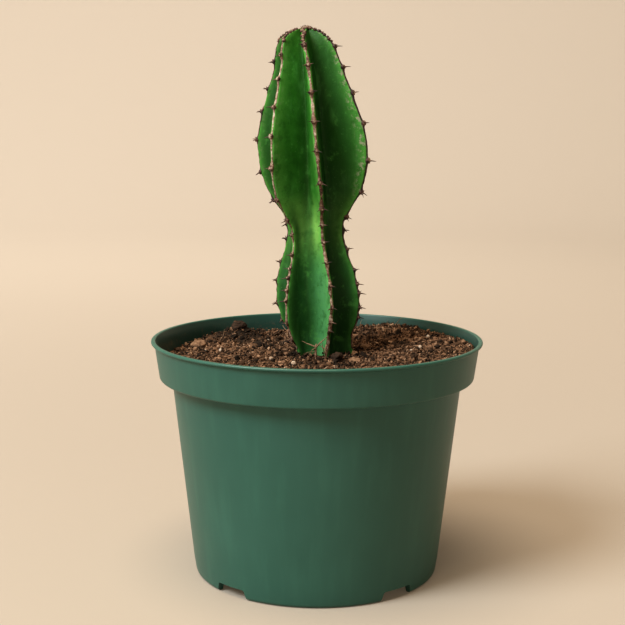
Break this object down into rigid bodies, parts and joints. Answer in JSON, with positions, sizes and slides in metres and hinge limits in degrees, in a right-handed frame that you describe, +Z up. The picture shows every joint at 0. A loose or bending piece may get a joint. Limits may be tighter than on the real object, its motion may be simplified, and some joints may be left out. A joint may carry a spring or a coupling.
{
  "type": "potted tall cactus",
  "caption": "Ribbed columnar cactus with spiny brown margins and a waisted stem, in bark and peat mix, in a tapered green nursery pot with a deep rim band.",
  "frame": {"origin": "centre of the pot's base, on the surface it stands on", "axes": "+Z up along the pot's axis; the front faces -Y, and +X is to its right as seen from the front"},
  "size_m": [0.165, 0.165, 0.2716],
  "materials": {
    "pot_plastic": "satin",
    "potting_mix": "matte",
    "cactus_skin": "satin",
    "horn": "matte",
    "perlite": "matte",
    "bark": "matte",
    "root": "matte"
  },
  "bodies": {
    "root": {"pot": "pot_plastic", "potting_mix": "potting_mix", "cactus_stem": "cactus_skin", "spine_margin_1": "horn", "spine_margin_2": "horn", "spine_margin_3": "horn", "spine_margin_4": "horn", "spine_margin_5": "horn", "spine_margin_6": "horn", "crown_tuft": "horn", "perlite_01": "perlite", "perlite_02": "perlite", "perlite_03": "perlite", "perlite_04": "perlite", "perlite_05": "perlite", "perlite_06": "perlite", "perlite_07": "perlite", "perlite_08": "perlite", "perlite_09": "perlite", "perlite_10": "perlite", "perlite_11": "perlite", "perlite_12": "perlite", "bark_1": "bark", "bark_2": "bark", "bark_3": "bark", "bark_4": "bark", "bark_5": "bark", "bark_6": "bark", "bark_7": "bark", "root_stub_1": "root", "root_stub_2": "root", "root_stub_3": "root"}
  },
  "joints": []
}
